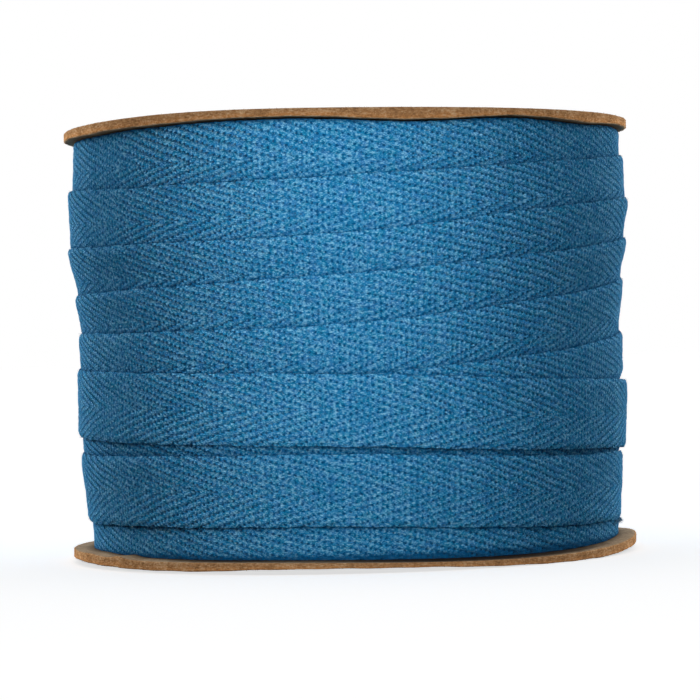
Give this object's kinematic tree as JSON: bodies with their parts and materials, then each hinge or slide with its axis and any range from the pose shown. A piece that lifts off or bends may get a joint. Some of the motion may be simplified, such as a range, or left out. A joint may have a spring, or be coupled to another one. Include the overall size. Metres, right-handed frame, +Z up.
{
  "type": "roll of cotton ribbon",
  "caption": "Reel of blue cotton herringbone ribbon, wound in wide flat overlapping turns between two round kraft-board discs and standing on end.",
  "frame": {"origin": "middle of the lower disc's underside, on the surface that the reel stands on", "axes": "+Z up along the reel's axis, +X to the right as the picture shows the reel, and the front faces -Y"},
  "size_m": [0.128, 0.128, 0.0956],
  "materials": {
    "kraft_board": "matt, fibrous, cut edge",
    "cotton_ribbon": "matt herringbone twill with a faint fuzz"
  },
  "bodies": {
    "root": {"flange_bottom": "kraft_board", "winding": "cotton_ribbon", "flange_top": "kraft_board"}
  },
  "joints": []
}
